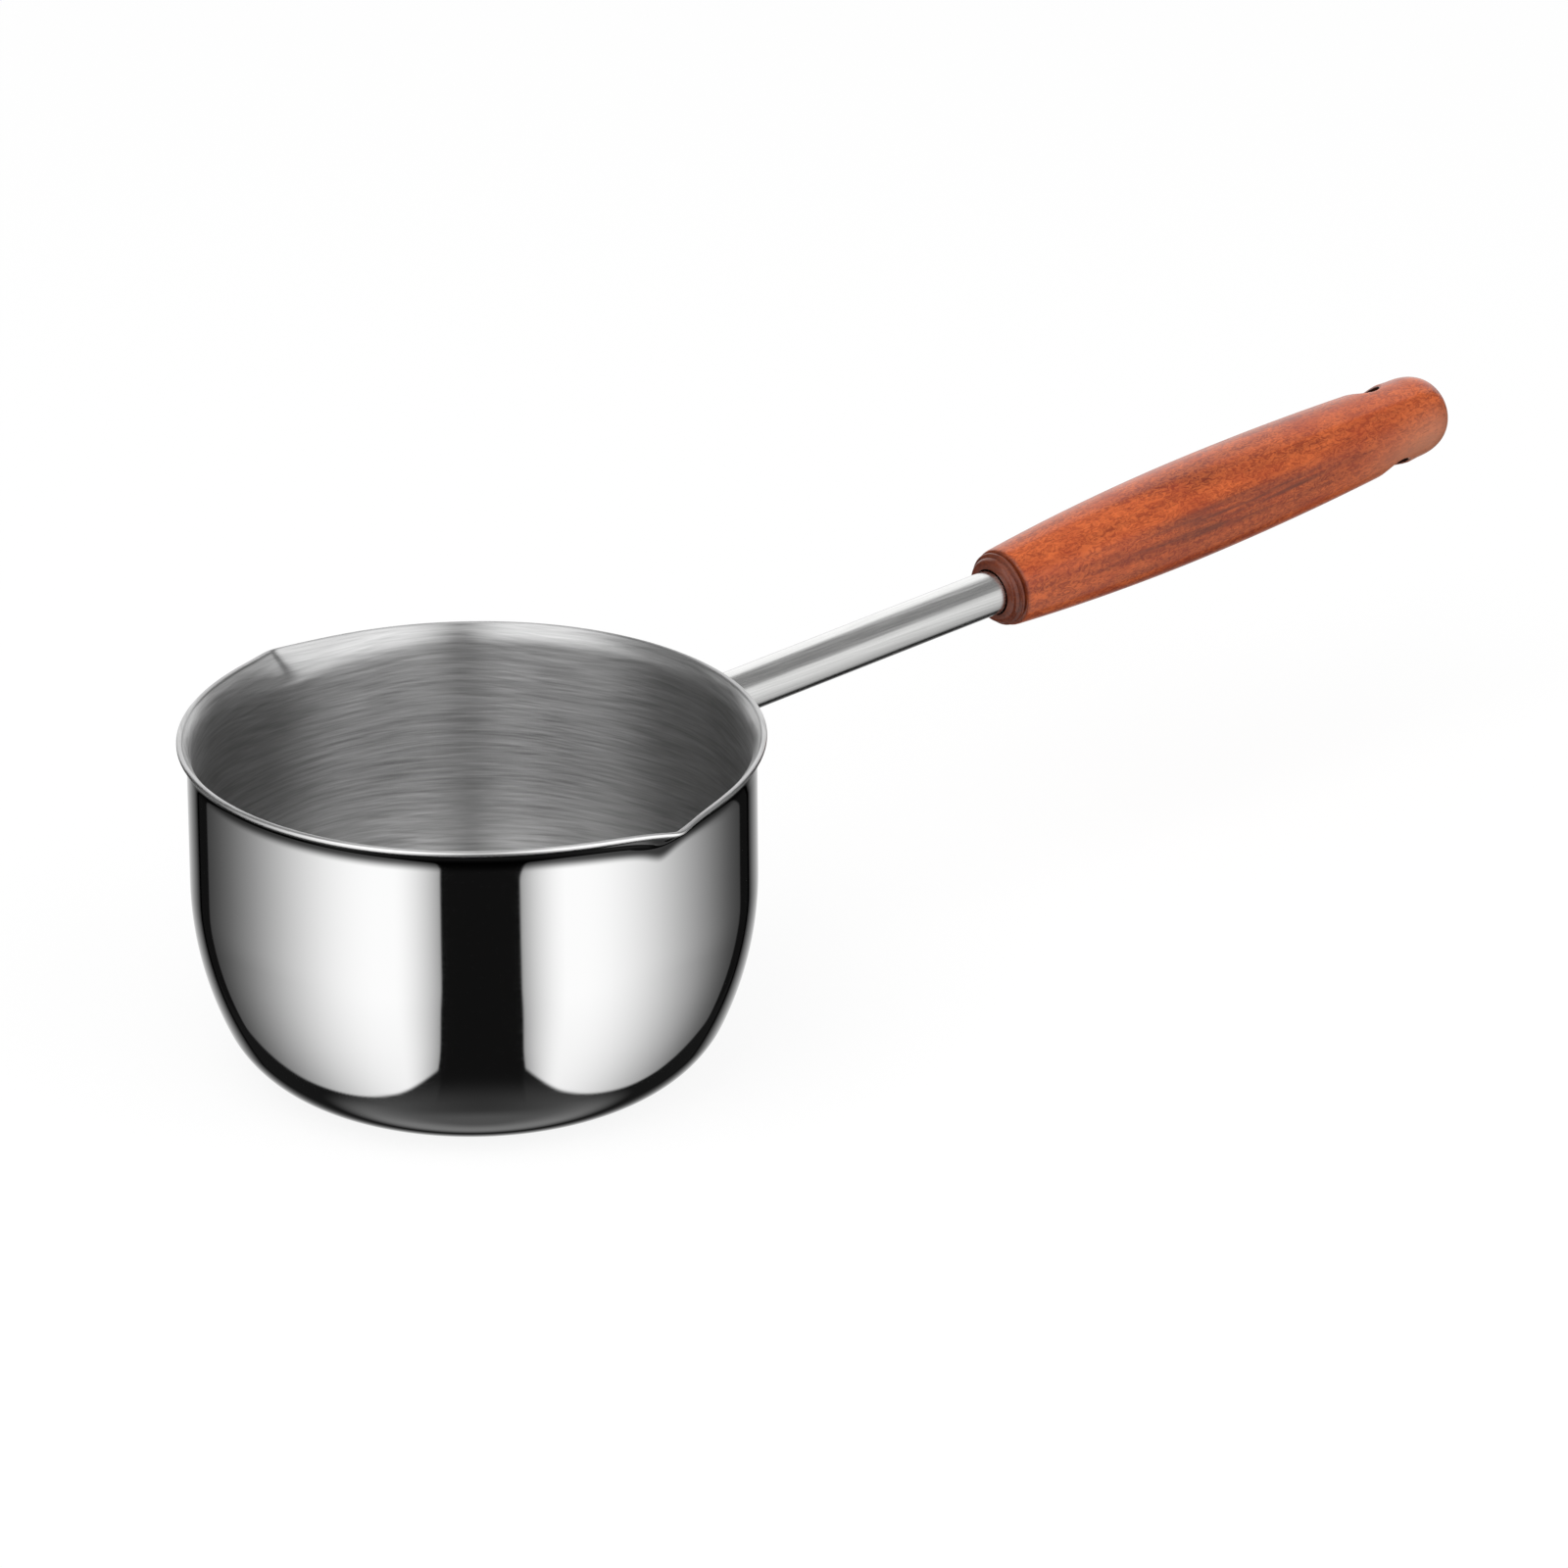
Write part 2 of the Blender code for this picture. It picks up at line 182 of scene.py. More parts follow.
# Pinches the pouring lips into the rim at +Y and -Y: out and down to a beak, less and less down the wall.
# Each point keeps how far its part of the rim is pinched as the attribute "overhang".
pinch, given, made = open_tree("pinched_lips", {
    "Bowl": "Geometry", "Rim height": "Float", "Reach": "Float", "Drop": "Float", "Depth": "Float",
    "Half angle": "Float", "Sharpness": "Float", "Pinch share": "Float", "Pinch angle": "Float",
    "Beak rounding": "Float"})
place = add(pinch, "GeometryNodeInputPosition")
xyz = add(pinch, "ShaderNodeSeparateXYZ", {0: (place, 0)})
flat = add(pinch, "ShaderNodeCombineXYZ", {"X": (xyz, "X"), "Y": (xyz, "Y")})
outward = add(pinch, "ShaderNodeVectorMath", {0: (flat, 0)}, operation="NORMALIZE")
side = add(pinch, "ShaderNodeMath", {0: (xyz, "X")}, operation="ABSOLUTE")
ahead = add(pinch, "ShaderNodeMath", {0: (xyz, "Y")}, operation="ABSOLUTE")
beside = add(pinch, "ShaderNodeMath", {0: (side, 0), 1: (ahead, 0)}, operation="ARCTAN2")
squared = add(pinch, "ShaderNodeMath", {0: (beside, 0), 1: 2.0}, operation="POWER")
round_squared = add(pinch, "ShaderNodeMath", {0: (given, "Beak rounding"), 1: 2.0}, operation="POWER")
both = add(pinch, "ShaderNodeMath", {0: (squared, 0), 1: (round_squared, 0)}, operation="ADD")
rooted = add(pinch, "ShaderNodeMath", {0: (both, 0)}, operation="SQRT")
nearest = add(pinch, "ShaderNodeMath", {0: (rooted, 0), 1: (given, "Beak rounding")}, operation="SUBTRACT")
spread = add(pinch, "ShaderNodeMapRange", {"Value": (nearest, 0), "From Max": (given, "Half angle"),
                                           "To Min": 1.0, "To Max": 0.0})
bulge = add(pinch, "ShaderNodeMath", {0: (spread, 0), 1: (given, "Sharpness")}, operation="POWER")
ratio = add(pinch, "ShaderNodeMath", {0: (nearest, 0), 1: (given, "Pinch angle")}, operation="DIVIDE")
minus = add(pinch, "ShaderNodeMath", {0: 0.0, 1: (ratio, 0)}, operation="SUBTRACT")
nip = add(pinch, "ShaderNodeMath", {0: (minus, 0)}, operation="EXPONENT")
below = add(pinch, "ShaderNodeMath", {0: (given, "Rim height"), 1: (xyz, "Z")}, operation="SUBTRACT")
near_rim = add(pinch, "ShaderNodeMapRange", {"Value": (below, 0), "From Max": (given, "Depth"),
                                             "To Min": 1.0, "To Max": 0.0}, interpolation_type="SMOOTHSTEP")
peak = add(pinch, "ShaderNodeMix", {0: (given, "Pinch share"), 2: (bulge, 0), 3: (nip, 0)})
amount = add(pinch, "ShaderNodeMath", {0: (peak, 0), 1: (near_rim, 0)}, operation="MULTIPLY")
pushed = add(pinch, "ShaderNodeMath", {0: (amount, 0), 1: (given, "Reach")}, operation="MULTIPLY")
lowered = add(pinch, "ShaderNodeMath", {0: (amount, 0), 1: (given, "Drop")}, operation="MULTIPLY")
sunk = add(pinch, "ShaderNodeMath", {0: 0.0, 1: (lowered, 0)}, operation="SUBTRACT")
out_by = add(pinch, "ShaderNodeVectorMath", {0: (outward, 0), "Scale": (pushed, 0)}, operation="SCALE")
down_by = add(pinch, "ShaderNodeCombineXYZ", {"Z": (sunk, 0)})
moved = add(pinch, "ShaderNodeVectorMath", {0: (out_by, 0), 1: (down_by, 0)}, operation="ADD")
kept = add(pinch, "GeometryNodeStoreNamedAttribute",
           {"Geometry": (given, "Bowl"), "Name": "overhang", "Value": (peak, 0)},
           data_type="FLOAT", domain="POINT")
pressed = add(pinch, "GeometryNodeSetPosition", {"Geometry": (kept, 0), "Offset": (moved, 0)})
pinch.links.new(pressed.outputs[0], made.inputs[0])


def linear(code):
    """An sRGB hex colour as linear RGBA."""
    parts = [int(code[at:at + 2], 16) / 255 for at in (1, 3, 5)]
    return tuple(c / 12.92 if c <= 0.04045 else ((c + 0.055) / 1.055) ** 2.4 for c in parts) + (1.0,)


def open_material(name):
    """A new material with its tree, its shader and the object coordinates that its patterns read."""
    material = bpy.data.materials.new(name)
    material.use_nodes = True
    tree = material.node_tree
    return material, tree, tree.nodes["Principled BSDF"], add(tree, "ShaderNodeTexCoord")


def set_shader(shader, **values):
    """Set the shader's own sockets, named with _ for each space."""
    for name, value in values.items():
        shader.inputs[name.replace("_", " ")].default_value = value


def around_axis(tree, coords, circle, run_scale):
    """Pattern coordinates that stay even round the Z axis: a circle, and the scaled run as height."""
    xyz = add(tree, "ShaderNodeSeparateXYZ", {0: (coords, "Object")})
    flat = add(tree, "ShaderNodeCombineXYZ", {"X": (xyz, "X"), "Y": (xyz, "Y")})
    unit = add(tree, "ShaderNodeVectorMath", {0: (flat, 0)}, operation="NORMALIZE")
    ring = add(tree, "ShaderNodeVectorMath", {0: (unit, 0), "Scale": circle}, operation="SCALE")
    run = add(tree, "ShaderNodeAttribute", attribute_name="run")
    step = add(tree, "ShaderNodeMath", {0: (run, "Fac"), 1: run_scale}, operation="MULTIPLY")
    rise = add(tree, "ShaderNodeCombineXYZ", {"Z": (step, 0)})
    return add(tree, "ShaderNodeVectorMath", {0: (ring, 0), 1: (rise, 0)}, operation="ADD")


# Buffed titanium: the wheel leaves a mirror with a faint grey cast, and only a trace of its swirl lines.
mirror, tree, shader, coords = open_material("buffed_titanium")
set_shader(shader, Metallic=1.0)
swirl = add(tree, "ShaderNodeTexNoise",
            {"Vector": (around_axis(tree, coords, 4.0, 1800.0), 0), "Scale": 1.0, "Detail": 3.0})
haze = add(tree, "ShaderNodeMapRange", {"Value": (swirl, 0), "From Min": 0.35, "From Max": 0.75,
                                        "To Min": 0.030, "To Max": 0.060})
# Under the lip the colour darkens into a soft dark line: painted shade, as the hollow under the lip would
# cast.
# It lies lower where a pouring lip overhangs it. The edge of the lip itself is sanded to a satin.
PAINTED_SHADE_FROM = LIP_RUN - 0.0047
PAINTED_SHADE_TO = LIP_RUN - 0.0016
PAINTED_SHADE_LOWER = 0.0047
PAINTED_SHADE_SHARPNESS = 1.9
SATIN_FROM = LIP_RUN - 0.0001
SATIN_TO = LIP_RUN + 0.0003
SATIN_ROUGHNESS = 0.28
run = add(tree, "ShaderNodeAttribute", attribute_name="run")
overhang = add(tree, "ShaderNodeAttribute", attribute_name="overhang")
hollow = add(tree, "ShaderNodeMath", {0: (overhang, "Fac"), 1: PAINTED_SHADE_LOWER, 2: (run, "Fac")},
             operation="MULTIPLY_ADD")
unshaded_soft = add(tree, "ShaderNodeMapRange",
              {"Value": (hollow, 0), "From Min": PAINTED_SHADE_FROM, "From Max": PAINTED_SHADE_TO,
               "To Min": 1.0, "To Max": 0.0}, interpolation_type="SMOOTHSTEP")
unshaded = add(tree, "ShaderNodeMath", {0: (unshaded_soft, 0), 1: PAINTED_SHADE_SHARPNESS}, operation="POWER")
sanded = add(tree, "ShaderNodeMapRange",
             {"Value": (run, "Fac"), "From Min": SATIN_FROM, "From Max": SATIN_TO})
unshaded_or_bead = add(tree, "ShaderNodeMath", {0: (unshaded, 0), 1: (sanded, 0)}, operation="MAXIMUM")
# The dark colour is painted shade: the band under the lip mixes towards it.
shade = add(tree, "ShaderNodeMix", {"Factor": (unshaded_or_bead, 0), 6: linear("#373737"), 7: linear("#D2D2D2")},
            data_type="RGBA")
satin_edge = add(tree, "ShaderNodeMath", {0: (sanded, 0), 1: SATIN_ROUGHNESS}, operation="MULTIPLY")
dulled = add(tree, "ShaderNodeMath", {0: (haze, 0), 1: (satin_edge, 0)}, operation="ADD")
ripple = add(tree, "ShaderNodeTexNoise", {"Vector": (coords, "Object"), "Scale": 60.0, "Detail": 1.0})
orange_peel = add(tree, "ShaderNodeBump", {"Height": (ripple, 0), "Strength": 0.04, "Distance": 0.0004})
tree.links.new(shade.outputs[2], shader.inputs["Base Color"])
tree.links.new(dulled.outputs[0], shader.inputs["Roughness"])
tree.links.new(orange_peel.outputs[0], shader.inputs["Normal"])

# Belt-ground titanium: lines run round the bowl, so light smears up and down the wall into soft bands. Real
# lines are about 0.05 mm apart. They are drawn about 0.6 mm apart, in runs of 10 to 30 mm, so that they show.
ground, tree, shader, coords = open_material("belt_ground_titanium")
set_shader(shader, Metallic=1.0, Anisotropic=0.92, Anisotropic_Rotation=0.25)
fine = add(tree, "ShaderNodeTexNoise",
           {"Vector": (around_axis(tree, coords, 4.5, 1600.0), 0), "Scale": 1.0, "Detail": 3.0,
            "Roughness": 0.6})
# A second pass of the belt crosses the first at a slight angle.
sway = add(tree, "ShaderNodeTexNoise",
           {"Vector": (around_axis(tree, coords, 1.2, 30.0), 0), "Scale": 1.0, "Detail": 0.0})
sway_by = add(tree, "ShaderNodeMath", {0: (sway, 0), 1: 14.0}, operation="MULTIPLY")
sway_up = add(tree, "ShaderNodeCombineXYZ", {"Z": (sway_by, 0)})
crossing = add(tree, "ShaderNodeVectorMath",
               {0: (around_axis(tree, coords, 3.5, 1300.0), 0), 1: (sway_up, 0)}, operation="ADD")
second = add(tree, "ShaderNodeTexNoise",
             {"Vector": (crossing, 0), "Scale": 1.0, "Detail": 2.0, "Roughness": 0.6})
lines = add(tree, "ShaderNodeMath", {0: (fine, 0), 1: (second, 0)}, operation="ADD")
tone = add(tree, "ShaderNodeMapRange", {"Value": (lines, 0), "From Min": 0.72, "From Max": 1.28})
shade = add(tree, "ShaderNodeMix", {"Factor": (tone, 0), 6: linear("#A6A6A6"), 7: linear("#C6C6C6")},
            data_type="RGBA")
grit = add(tree, "ShaderNodeMapRange", {"Value": (lines, 0), "From Min": 0.7, "From Max": 1.3,
                                        "To Min": 0.32, "To Max": 0.38})
scratch = add(tree, "ShaderNodeBump", {"Height": (lines, 0), "Strength": 0.08, "Distance": 0.0001})
tangent = add(tree, "ShaderNodeTangent", direction_type="RADIAL", axis="Z")
tree.links.new(shade.outputs[2], shader.inputs["Base Color"])
tree.links.new(grit.outputs[0], shader.inputs["Roughness"])
tree.links.new(scratch.outputs[0], shader.inputs["Normal"])
tree.links.new(tangent.outputs[0], shader.inputs["Tangent"])


def section_object(name, outline):
    """An object whose mesh is the open line of a section, with the distance along it as "run"."""
    mesh = bpy.data.meshes.new(name)
    mesh.from_pydata([(radius, 0.0, height) for radius, height in outline],
                     [(at, at + 1) for at in range(len(outline) - 1)], [])
    runs = [0.0]
    for here, there in zip(outline, outline[1:]):
        runs.append(runs[-1] + math.dist(here, there))
    mesh.attributes.new("run", "FLOAT", "POINT").data.foreach_set("value", runs)
    item = bpy.data.objects.new(name, mesh)
    bpy.context.scene.collection.objects.link(item)
    return item, runs


def grow(item, tree, sizes):
    """Put a geometry tree on an object and set its inputs by their identifiers."""
    modifier = item.modifiers.new(tree.name, "NODES")
    modifier.node_group = tree
    for socket in tree.interface.items_tree:
        if socket.name in sizes and socket.in_out == "INPUT":
            modifier[socket.identifier] = sizes[socket.name]


def settle(item, matrix=None):
    """Make the object's modifiers a plain mesh with its place in its points, facing outwards."""
    shape = bpy.data.meshes.new_from_object(item.evaluated_get(bpy.context.evaluated_depsgraph_get()))
    item.modifiers.clear()
    item.data = shape
    if matrix:
        shape.transform(matrix)
    bm = bmesh.new()
    bm.from_mesh(shape)
    bmesh.ops.recalc_face_normals(bm, faces=bm.faces)
    bm.to_mesh(shape)
    bm.free()


bowl, bowl_runs = section_object("bowl", bowl_section)
inside_from = bowl_runs[len(outer_side) + len(rolled_edge) // 2]
grow(bowl, spin, {"Steps": BOWL_STEPS, "Outside finish": mirror, "Inside finish": ground,
                  "Inside from": inside_from})
grow(bowl, pinch, {"Rim height": RIM_HEIGHT, "Reach": LIP_REACH, "Drop": LIP_DROP, "Depth": LIP_DEPTH,
                   "Half angle": LIP_HALF_ANGLE, "Sharpness": LIP_SHARPNESS, "Pinch share": PINCH_SHARE,
                   "Pinch angle": PINCH_ANGLE, "Beak rounding": BEAK_ROUNDING})
settle(bowl)
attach(bowl, "root")
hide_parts("pan_body")

# The handle tube: drawn titanium tube, 10 mm across with a 0.8 mm wall, its end coped to the round bowl. Fine
# paper has polished it along its length, which leaves a satin sheen and fine lengthwise lines.
TUBE_R = 0.0050
TUBE_WALL = 0.0008
TUBE_BELOW_RIM = 0.0124
TUBE_SHOWN = 0.0894
TUBE_IN_GRIP = 0.0320
TUBE_RISE = math.radians(1.75)
TUBE_ROWS = 40
TUBE_STEPS = 96
# Clearance between touching pieces, as in the CAD
GAP = 0.0003
tube_place = (Matrix.Translation((WALL_R, 0.0, RIM_HEIGHT - TUBE_BELOW_RIM))
              @ Matrix.Rotation(math.pi / 2 - TUBE_RISE, 4, "Y"))

satin, tree, shader, coords = open_material("satin_titanium")
set_shader(shader, Metallic=1.0, Anisotropic=0.3)
level = add(tree, "ShaderNodeMapping", {"Vector": (coords, "Object"), "Rotation": (0.0, TUBE_RISE, 0.0),
                                        "Scale": (40.0, 3000.0, 3000.0)})
drawn = add(tree, "ShaderNodeTexNoise", {"Vector": (level, 0), "Scale": 1.0, "Detail": 3.0})
tone = add(tree, "ShaderNodeMapRange", {"Value": (drawn, 0), "From Min": 0.3, "From Max": 0.7})
shade = add(tree, "ShaderNodeMix", {"Factor": (tone, 0), 6: linear("#D3D3D2"), 7: linear("#E2E2E1")},
            data_type="RGBA")
grit = add(tree, "ShaderNodeMapRange", {"Value": (drawn, 0), "From Min": 0.3, "From Max": 0.7,
                                        "To Min": 0.16, "To Max": 0.24})
scratch = add(tree, "ShaderNodeBump", {"Height": (drawn, 0), "Strength": 0.08, "Distance": 0.0001})
tree.links.new(shade.outputs[2], shader.inputs["Base Color"])
tree.links.new(grit.outputs[0], shader.inputs["Roughness"])
tree.links.new(scratch.outputs[0], shader.inputs["Normal"])

tube_end = TUBE_SHOWN + TUBE_IN_GRIP
tube_bore = TUBE_R - TUBE_WALL
tube_line = [(tube_bore, -TUBE_R)]
tube_line += [(TUBE_R, -TUBE_R + (tube_end + TUBE_R) * row / TUBE_ROWS) for row in range(TUBE_ROWS + 1)]
tube_line += [(tube_bore, tube_end), (tube_bore, -TUBE_R)]
tube, tube_runs = section_object("handle_tube_drawn", tube_line)
grow(tube, spin, {"Steps": TUBE_STEPS, "Outside finish": satin, "Inside finish": satin,
                  "Inside from": tube_runs[-1]})
settle(tube, tube_place)
# The end is coped: points inside the bowl's wall move out along +X until they clear it.
for vertex in tube.data.vertices:
    clear_of_wall = math.sqrt(max(0.0, (WALL_R + GAP) ** 2 - vertex.co.y ** 2))
    vertex.co.x = max(vertex.co.x, clear_of_wall)
tube.data.set_sharp_from_angle(angle=math.radians(40))
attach(tube, "root")
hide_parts("handle_tube")

# The weld: a ring of titanium filler laid by hand round the foot of the tube, in small overlapping puddles.
# Its heat left a straw and blue tint, most of which was brushed away.
WELD_LEG = 0.0016
WELD_PUDDLES = 36
WELD_STEPS = WELD_PUDDLES * 8
WELD_SIDES = 9
# Shares of the leg: the hollow middle of the bead, the crest of a puddle, and the swell towards both toes
WELD_MIDDLE = 0.62
WELD_CREST = 0.10
WELD_TOE = 0.38

bead, tree, shader, coords = open_material("weld_bead_titanium")
set_shader(shader, Metallic=1.0)
patches = add(tree, "ShaderNodeTexNoise", {"Vector": (coords, "Object"), "Scale": 900.0, "Detail": 3.0})
tint = add(tree, "ShaderNodeMix", {"Factor": (patches, 0), 6: linear("#A9A29A"), 7: linear("#BDB9B6")},
           data_type="RGBA")
grit = add(tree, "ShaderNodeMapRange", {"Value": (patches, 0), "From Min": 0.3, "From Max": 0.7,
                                        "To Min": 0.22, "To Max": 0.38})
tree.links.new(tint.outputs[2], shader.inputs["Base Color"])
tree.links.new(grit.outputs[0], shader.inputs["Roughness"])

bm = bmesh.new()
rings = []
for step in range(WELD_STEPS):
    angle = 2 * math.pi * step / WELD_STEPS
    puddle = abs(math.sin(WELD_PUDDLES / 2 * angle))
    # Distance out from the tube's axis and distance off the wall, of each point across the bead
    across = []
    for number in range(WELD_SIDES):
        slope = math.pi / 2 * number / (WELD_SIDES - 1)
        swell = WELD_MIDDLE + WELD_CREST * puddle + WELD_TOE * abs(math.cos(2 * slope)) ** 1.5
        across.append((TUBE_R + GAP + WELD_LEG * swell * math.cos(slope),
                       GAP + WELD_LEG * swell * math.sin(slope)))
    # The last point closes the bead at the corner between the tube and the wall.
    across.append((TUBE_R + GAP, 0.0))
    ring = []
    for out, up in across:
        here = tube_place @ Vector((out * math.cos(angle), out * math.sin(angle), 0.0))
        foot = math.sqrt((WALL_R + GAP) ** 2 - here.y ** 2)
        ring.append(bm.verts.new((foot + up, here.y, here.z + up * math.sin(TUBE_RISE))))
    rings.append(ring)
for ring, following in zip(rings, rings[1:] + rings[:1]):
    for number in range(len(ring)):
        after = (number + 1) % len(ring)
        bm.faces.new((ring[number], ring[after], following[after], following[number]))
bmesh.ops.recalc_face_normals(bm, faces=bm.faces)
weld_mesh = bpy.data.meshes.new("weld_bead")
bm.to_mesh(weld_mesh)
bm.free()
weld_mesh.shade_smooth()
weld_mesh.set_sharp_from_angle(angle=math.radians(60))
weld_mesh.materials.append(bead)
weld = bpy.data.objects.new("weld_bead", weld_mesh)
bpy.context.scene.collection.objects.link(weld)
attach(weld, "root")
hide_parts("handle_weld")

# The plug and the screw: turned steel, pressed into the tube's far end and run into the wood, both hidden.
# Their shapes are the model's own, and they get the grey of bright turned bar with fine rings from the tool.
turned_steel, tree, shader, coords = open_material("turned_steel")
set_shader(shader, Metallic=1.0)
tool_rings = add(tree, "ShaderNodeTexWave",
                 {"Vector": (coords, "Object"), "Scale": 2500.0, "Distortion": 0.5}, bands_direction="X")
shade = add(tree, "ShaderNodeMix",
            {"Factor": (tool_rings, "Fac"), 6: linear("#9C9C9B"), 7: linear("#B4B4B2")}, data_type="RGBA")
grit = add(tree, "ShaderNodeMapRange", {"Value": (tool_rings, "Fac"), "To Min": 0.28, "To Max": 0.40})
tree.links.new(shade.outputs[2], shader.inputs["Base Color"])
tree.links.new(grit.outputs[0], shader.inputs["Roughness"])
for name in ("tube_end_plug", "grip_screw"):
    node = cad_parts[name]
    node.data.materials.clear()
    node.data.materials.append(turned_steel)

# The grip: red-brown hardwood, turned between centres to a slim barrel with a beaded front, bored for the
# tube, drilled across near its end to hang on a hook, stained, and sealed with clear gloss lacquer.
GRIP_RISE = math.radians(3)
GRIP_LENGTH = 0.1367
GRIP_FACE_R = 0.0056
GRIP_SHOULDER = 0.0014
GRIP_SHOULDER_OUT = 0.6
GRIP_BEAD = 0.0010
GRIP_BEAD_OUT = 0.25
GRIP_GROOVE = 0.0004
GRIP_FRONT_R = 0.0087
GRIP_FRONT_EDGE = 0.0004
GRIP_FRONT_STRETCH = 1.5
GRIP_BELLY_R = 0.01125
GRIP_BELLY_AT = 0.0630
GRIP_TAIL_R = 0.0092
GRIP_END_ROUND = 0.0103
GRIP_END_SQUARENESS = 2.6
# Rows of points in each stretch of the outline, and steps round it
FACE_ROWS = 4
SHOULDER_ROWS = 8
BEAD_ROWS = 10
FRONT_EDGE_ROWS = 5
BARREL_ROWS = 300
BARREL_FIRST_ROW = 3
END_ROWS = 24
GRIP_STEPS = 160
HOLE_R = 0.0044
HOLE_AT = GRIP_LENGTH - 0.0183
HOLE_LEAN = math.radians(31)
MOUTH_R = 0.0051
MOUTH_DEPTH = 0.0005
BORE_OVERRUN = 0.004
PILOT_R = 0.0020
PILOT_OVERLAP = 0.002
PILOT_LENGTH = 0.0266
HOOK_DRILL_HALF = 0.02
DRILL_STEPS = 64
grip_place = (tube_place @ Matrix.Translation((0, 0, TUBE_SHOWN))
              @ Matrix.Rotation(TUBE_RISE - GRIP_RISE, 4, "Y"))

front = GRIP_SHOULDER + GRIP_BEAD + 2 * GRIP_GROOVE
tail = GRIP_LENGTH - GRIP_END_ROUND
shoulder_r = GRIP_FACE_R + GRIP_SHOULDER_OUT * (GRIP_FRONT_R - GRIP_FACE_R)
bead_r = shoulder_r + GRIP_BEAD_OUT * (GRIP_FRONT_R - shoulder_r)
bead_at = GRIP_SHOULDER + GRIP_GROOVE + GRIP_BEAD / 2
grip_line = [(0.0, 0.0)] + [(GRIP_FACE_R * row / FACE_ROWS, 0.0) for row in range(1, FACE_ROWS + 1)]
for row in range(1, SHOULDER_ROWS + 1):
    turn_by = math.pi / 2 * row / SHOULDER_ROWS
    grip_line.append((GRIP_FACE_R + (shoulder_r - GRIP_FACE_R) * math.sin(turn_by),
                      GRIP_SHOULDER * (1 - math.cos(turn_by))))
# The groove before the bead: depth and distance from its start, in shares of its width
for deep, after in ((0.7, 0.3), (1.0, 0.55), (0.7, 0.8)):
    grip_line.append((bead_r - deep * GRIP_GROOVE, GRIP_SHOULDER + after * GRIP_GROOVE))
for row in range(BEAD_ROWS + 1):
    turn_by = math.pi * row / BEAD_ROWS
    grip_line.append((bead_r + GRIP_BEAD / 2 * math.sin(turn_by),
                      bead_at - GRIP_BEAD / 2 * math.cos(turn_by)))
# The groove after the bead: depth and distance back from its end
for deep, before in ((0.7, 0.75), (1.0, 0.5), (0.6, 0.25)):
    grip_line.append((bead_r - deep * GRIP_GROOVE, front - before * GRIP_GROOVE))
for row in range(1, FRONT_EDGE_ROWS + 1):
    turn_by = math.pi / 2 * row / FRONT_EDGE_ROWS
    grip_line.append((GRIP_FRONT_R - GRIP_FRONT_EDGE * (1 - math.sin(turn_by)),
                      front + GRIP_FRONT_EDGE * (1 - math.cos(turn_by)) * GRIP_FRONT_STRETCH))
for row in range(BARREL_FIRST_ROW, BARREL_ROWS + 1):
    along = front + (tail - front) * row / BARREL_ROWS
    if along < GRIP_BELLY_AT:
        share_out, edge_r = (GRIP_BELLY_AT - along) / (GRIP_BELLY_AT - front), GRIP_FRONT_R
    else:
        share_out, edge_r = (along - GRIP_BELLY_AT) / (tail - GRIP_BELLY_AT), GRIP_TAIL_R
    grip_line.append((GRIP_BELLY_R - (GRIP_BELLY_R - edge_r) * share_out ** 2, along))
for row in range(1, END_ROWS + 1):
    out = math.sin(math.pi / 2 * row / END_ROWS)
    rounded = max(0.0, 1 - out ** GRIP_END_SQUARENESS) ** (1 / GRIP_END_SQUARENESS)
    grip_line.append((GRIP_TAIL_R * rounded, tail + GRIP_END_ROUND * out))

wood, tree, shader, coords = open_material("lacquered_hardwood")
set_shader(shader, Coat_Weight=0.5, Coat_Roughness=0.12, Coat_IOR=1.5, IOR=1.45, Specular_IOR_Level=0.2)
# Along the grip is X here, so that grain, pores and stain are drawn in the wood's own directions.
grain_place = add(tree, "ShaderNodeMapping",
                  {"Vector": (coords, "Object"), "Location": tuple(grip_place.translation),
                   "Rotation": (0.0, -GRIP_RISE, 0.0)}, vector_type="TEXTURE")
# Flecks of curly figure, about 1 mm wide and 2 mm long
fleck_scale = add(tree, "ShaderNodeMapping", {"Vector": (grain_place, 0), "Scale": (520.0, 1000.0, 1000.0)})
fleck = add(tree, "ShaderNodeTexNoise",
            {"Vector": (fleck_scale, 0), "Scale": 1.0, "Detail": 4.0, "Roughness": 0.6, "Distortion": 1.6})
# Growth layers: bands about 3 mm apart that run along the grip and bow a little
layer_scale = add(tree, "ShaderNodeMapping", {"Vector": (grain_place, 0), "Scale": (14.0, 170.0, 240.0),
                                              "Rotation": (0.5, 0.03, 0.02)})
layer = add(tree, "ShaderNodeTexNoise",
            {"Vector": (layer_scale, 0), "Scale": 1.0, "Detail": 6.0, "Roughness": 0.55, "Distortion": 0.4})
# Pores: dark dashes, about 0.25 mm wide and 4 mm long
PORE_SHADE = 0.45
pore_scale = add(tree, "ShaderNodeMapping", {"Vector": (grain_place, 0), "Scale": (260.0, 3600.0, 3600.0)})
pore = add(tree, "ShaderNodeTexNoise", {"Vector": (pore_scale, 0), "Scale": 1.0, "Detail": 2.0})
pore_mask = add(tree, "ShaderNodeMapRange", {"Value": (pore, 0), "From Min": 0.60, "From Max": 0.72})
body = add(tree, "ShaderNodeValToRGB", {0: (layer, 0)})
body.color_ramp.elements[0].position = 0.36
body.color_ramp.elements[0].color = linear("#7B2F17")
body.color_ramp.elements[1].position = 0.58
body.color_ramp.elements[1].color = linear("#D66331")
warm = add(tree, "ShaderNodeValToRGB", {0: (fleck, 0)})
warm.color_ramp.elements[0].position = 0.39
warm.color_ramp.elements[0].color = linear("#802E18")
warm.color_ramp.elements[1].position = 0.59
warm.color_ramp.elements[1].color = linear("#E2743C")
